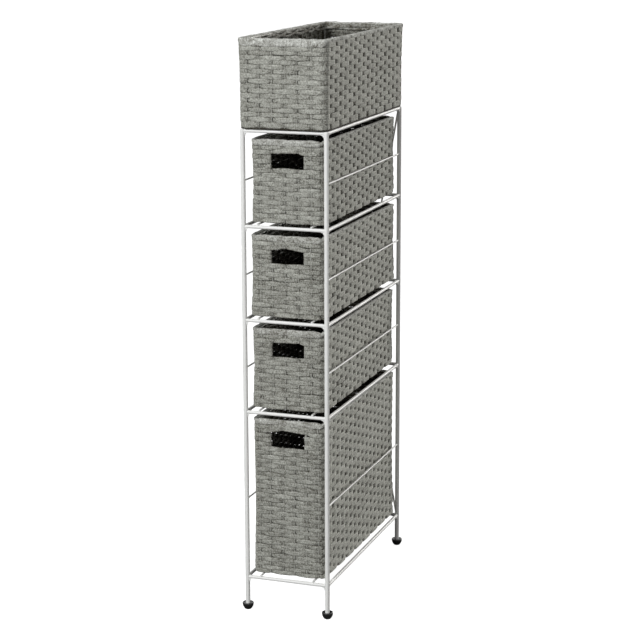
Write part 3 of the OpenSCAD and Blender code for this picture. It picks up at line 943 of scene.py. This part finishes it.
    def floor(self):
        """The woven floor: strands from front to back over and under the stakes that cross it."""
        weave = Weave()
        a = self.outline.half_w - FLOOR_INSET
        b = self.outline.half_l - FLOOR_INSET
        lanes = int(2 * a / LANE)
        pitch = 2 * a / lanes
        cross = np.arange(-b + 14, b - 10, CROSS)
        self.floor_strands(weave, a, b, lanes, pitch, cross)
        self.floor_stakes(weave, a, lanes, pitch, cross)
        self.write(weave, "_floor", ROPE[self.name])

    def floor_strands(self, weave, a, b, lanes, pitch, cross):
        """Adds the strands from front to back, one in each lane."""
        knots = np.concatenate([[-b], cross, [b]])
        shares = np.array([0, 0.12, 0.3, 0.5, 0.7, 0.88])
        y = np.concatenate([near + (far - near) * shares for near, far in zip(knots, knots[1:])] + [[b]])
        for i in range(lanes):
            x = -a + pitch * (i + 0.5)
            under = cross[(np.arange(len(cross)) + i) % 2 == 1]
            d = np.abs(y[:, None] - under[None]).min(1)
            z = 1.35 + 2.0 * hill(d, 5) + self.rng.normal(0, 0.05, len(y))
            # The outermost strands are cut short at the round corners.
            cut = 5.0 if i in (0, lanes - 1) else 0.0
            across = np.full(len(y), x) + self.cx + self.rng.normal(0, 0.12, len(y))
            centre = np.column_stack([across, np.clip(y, cut - b, b - cut) + self.cy, z + self.z0])
            half_h = (pitch / 2 + 0.5) * (1 - 0.15 * hill(d, 4))
            section = FLAT[None] * np.stack([np.full(len(y), 1.0), half_h], -1)[:, None, :]
            # Painted shade on the floor's upper face, inside the basket.
            tone = self.rng.normal(0, 0.06) + np.zeros((len(y), 1)) + INNER_SHADE * 1.5
            weave.strand(centre, -UP, (-1.0, 0, 0), section, y, tone, closed=False)

    def floor_stakes(self, weave, a, lanes, pitch, cross):
        """Adds the stakes that cross the floor, under one strand and over the next."""
        x = np.linspace(-a, a, lanes * 2 + 1)
        lane = np.clip(((x + a) / pitch).astype(int), 0, lanes - 1)
        for k, y in enumerate(cross):
            z = np.where((k + lane) % 2 == 1, 1.0, 3.2)
            z = np.convolve(np.pad(z, 1, mode="edge"), [0.25, 0.5, 0.25], "valid")
            centre = np.column_stack([x + self.cx, np.full(len(x), y + self.cy), z + self.z0])
            weave.strand(centre, -UP, (0.0, 1.0, 0), ROUND * (0.8, 1.6), x, np.zeros(len(x)), closed=False)


# lean: how far the walls lean out at the top. phase: 0 or 1, for the stakes that the first row goes behind.
# bulge: how far the left and the right side have come out in use. loose: how much lower the rope gets at its
# dips on the left side, as a share. relief: share of the full dip on the front and back, and on the sides.
SMALL = dict(rows=SMALL_ROWS, rim_h=13.0, stakes=SMALL_STAKES, lean=0.0, hole=SMALL_HOLE)
BASKETS = {
    "tall_drawer": dict(
        rows=TALL_ROWS,
        rim_h=12.6,
        stakes=TALL_STAKES,
        lean=0.0,
        hole=Hole(-38.6, 36.2, 27.6, 54.8, 3.8),
        phase=0,
        bulge=(3.0, 4.0),
        loose=0.36,
        relief=(0.6, 0.95),
        seed=5,
    ),
    "small_drawer_1": dict(SMALL, phase=1, bulge=(3.2, 1.0), loose=0.22, relief=(0.65, 1.0), seed=4),
    "small_drawer_2": dict(SMALL, phase=0, bulge=(4.4, 3.8), loose=0.22, relief=(0.6, 1.0), seed=3),
    "small_drawer_3": dict(
        SMALL,
        hole=SMALL_HOLE._replace(left=-33.8, right=37.6),
        phase=1,
        bulge=(0.7, 2.4),
        loose=0.16,
        relief=(0.75, 1.0),
        seed=2,
    ),
    "top_basket": dict(
        rows=TOP_ROWS,
        rim_h=16.5,
        stakes=TOP_STAKES,
        lean=2.7,
        hole=None,
        phase=0,
        bulge=(1.4, 1.0),
        loose=0.0,
        relief=(0.75, 1.0),
        seed=1,
    ),
}

for name, values in BASKETS.items():
    basket = Basket(name, **values)
    basket.weft()
    basket.uprights()
    basket.rim()
    basket.floor()

# ------------------------------------------------------------- CAD surfaces

for name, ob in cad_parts.items():
    if ob.hide_render:
        continue
    ob.data.materials.clear()
    if name.startswith("foot"):
        ob.data.materials.append(FOOT)
    elif "basket" in name or "drawer" in name:
        ob.data.materials.append(WIRE)
    else:
        ob.data.materials.append(COAT)

# -------------------------------------------------------------------- stage

FLOOR_HALF = 40
WORLD_LIGHT = 0.11


def stage_material(name, colour, shade):
    """Glows white to the camera, and is a dark shade to all other rays."""
    mat, nt, bsdf = new_material(name)
    seen = node(nt, "ShaderNodeLightPath").outputs["Is Camera Ray"]
    nt.links.new(mixed_colour(nt, seen, shade, (0.55, 0.55, 0.55)), bsdf.inputs["Base Color"])
    bsdf.inputs["Roughness"].default_value = 1.0
    bsdf.inputs["Specular IOR Level"].default_value = 0.0
    bsdf.inputs["Emission Color"].default_value = (*colour, 1)
    glow = node(nt, "ShaderNodeMath", operation="MULTIPLY")
    nt.links.new(seen, glow.inputs[0])
    glow.inputs[1].default_value = 0.95
    nt.links.new(glow.outputs[0], bsdf.inputs["Emission Strength"])
    return mat


def studio_floor():
    """A wide white floor at z = 0."""
    e = FLOOR_HALF
    mesh = bpy.data.meshes.new("studio_floor")
    mesh.from_pydata([(-e, -e, 0), (e, -e, 0), (e, e, 0), (-e, e, 0)], [], [(0, 1, 2, 3)])
    mesh.materials.append(stage_material("studio_floor", (1, 1, 1), (0.15, 0.15, 0.15)))
    floor = bpy.data.objects.new("studio_floor", mesh)
    bpy.context.scene.collection.objects.link(floor)


def studio_world():
    """White where it is seen directly or in a reflection, and weak as a light."""
    world = bpy.data.worlds.new("studio")
    bpy.context.scene.world = world
    world.use_nodes = True
    nt = world.node_tree
    background = nt.nodes["Background"]
    path = node(nt, "ShaderNodeLightPath")
    seen = path.outputs["Is Camera Ray"]
    for ray in ("Is Transmission Ray", "Is Glossy Ray"):
        either = node(nt, "ShaderNodeMath", operation="MAXIMUM")
        nt.links.new(seen, either.inputs[0])
        nt.links.new(path.outputs[ray], either.inputs[1])
        seen = either.outputs[0]
    strength = node(nt, "ShaderNodeMix", data_type="FLOAT")
    strength.inputs[2].default_value = WORLD_LIGHT
    strength.inputs[3].default_value = 1.0
    nt.links.new(seen, strength.inputs[0])
    nt.links.new(strength.outputs[0], background.inputs["Strength"])
    background.inputs["Color"].default_value = (1, 1, 1, 1)


def sun(name, azimuth, height, power, angle, colour):
    """A sun that shines from an azimuth and a height, in degrees."""
    lamp = bpy.data.lights.new(name, "SUN")
    lamp.color = colour
    lamp.energy = power
    lamp.angle = math.radians(angle)
    ob = bpy.data.objects.new(name, lamp)
    a = math.radians(azimuth)
    h = math.radians(height)
    aim = Vector((-math.cos(h) * math.cos(a), -math.cos(h) * math.sin(a), -math.sin(h)))
    ob.rotation_euler = aim.to_track_quat("-Z", "Y").to_euler()
    bpy.context.scene.collection.objects.link(ob)


def area(name, size, power, place, target, colour):
    """A square area light that points from its place at a target."""
    lamp = bpy.data.lights.new(name, "AREA")
    lamp.size = size
    lamp.energy = power
    lamp.color = colour
    ob = bpy.data.objects.new(name, lamp)
    ob.location = place
    ob.rotation_euler = (Vector(target) - ob.location).to_track_quat("-Z", "Y").to_euler()
    bpy.context.scene.collection.objects.link(ob)


studio_floor()
studio_world()
area("front", 2.1, 300, (-1.9, -5.2, 3.2), (0, 0, 0.7), (0.99, 1, 1))
sun("side", 62, 9, 2.2, 30, (1, 0.98, 0.95))
sun("fill", -25, 12, 0.42, 20, (1, 0.99, 0.97))

# ------------------------------------------------------------------- camera

# Place, target, roll and lens as fitted to the photograph.
CAMERA_AT = (1.2936, -3.6850, 1.4493)
LOOK_AT = (-0.012, 0, 0.5704)
ROLL = -0.18
LENS = 106.15

camera = bpy.data.objects.new("camera", bpy.data.cameras.new("camera"))
camera.data.lens = LENS
camera.data.sensor_width = 36
camera.location = CAMERA_AT
aim = Vector(LOOK_AT) - camera.location
turn = aim.to_track_quat("-Z", "Y").to_matrix() @ Matrix.Rotation(math.radians(ROLL), 3, "Z")
camera.rotation_euler = turn.to_euler()
bpy.context.scene.collection.objects.link(camera)
bpy.context.scene.camera = camera
bpy.context.scene.view_settings.view_transform = "Standard"

bpy.context.view_layer.update()
